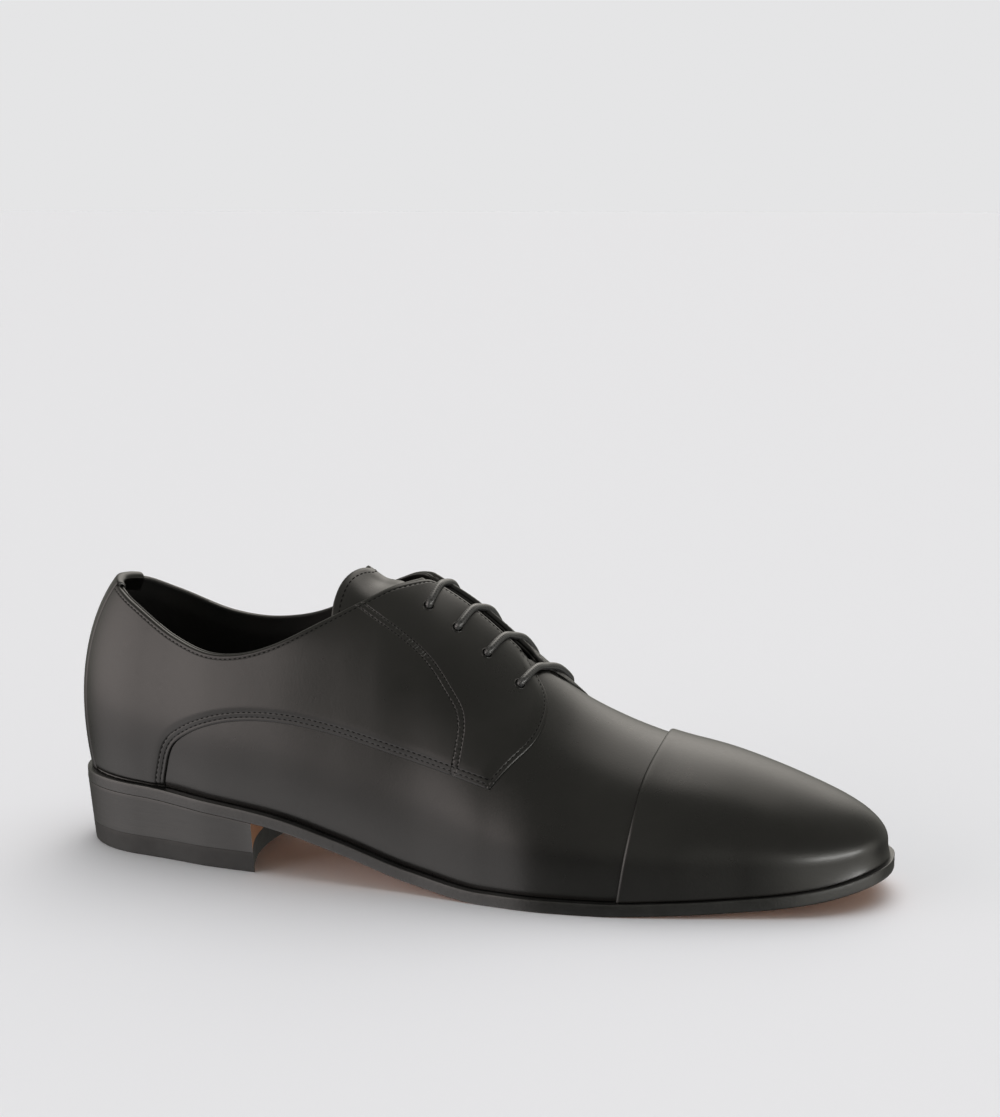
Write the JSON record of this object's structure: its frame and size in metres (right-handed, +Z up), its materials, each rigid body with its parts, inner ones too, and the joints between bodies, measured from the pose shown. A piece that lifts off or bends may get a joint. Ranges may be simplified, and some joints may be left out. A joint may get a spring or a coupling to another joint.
{
  "type": "lace-up shoe",
  "caption": "Right low derby shoe with a toe cap, open lacing over a tongue, thin sole and low stacked heel; the inside is hollow.",
  "frame": {"origin": "middle of the heel's flat bottom face, on the floor", "axes": "+X from heel to toe, +Y to the inner side of the foot, +Z up"},
  "size_m": [0.3024, 0.0951, 0.1078],
  "materials": {
    "outsole": "smooth leather, black edge and natural underside",
    "heel_stack": "polished black leather stack",
    "heel_top_piece": "matt black rubber",
    "insole": "smooth black lining leather",
    "upper": "polished black calf",
    "tongue": "black calf",
    "toe_cap": "polished black calf",
    "quarters": "polished black calf",
    "back_strip": "polished black calf",
    "lace": "waxed round cord"
  },
  "bodies": {
    "root": {"outsole": "outsole", "heel_stack": "heel_stack", "heel_top_piece": "heel_top_piece", "insole": "insole", "upper": "upper", "tongue": "tongue", "toe_cap": "toe_cap", "quarter_lateral": "quarters", "quarter_medial": "quarters", "back_strip": "back_strip", "lace_bar_1": "lace", "lace_bar_2": "lace", "lace_bar_3": "lace", "lace_bar_4": "lace"}
  },
  "joints": []
}
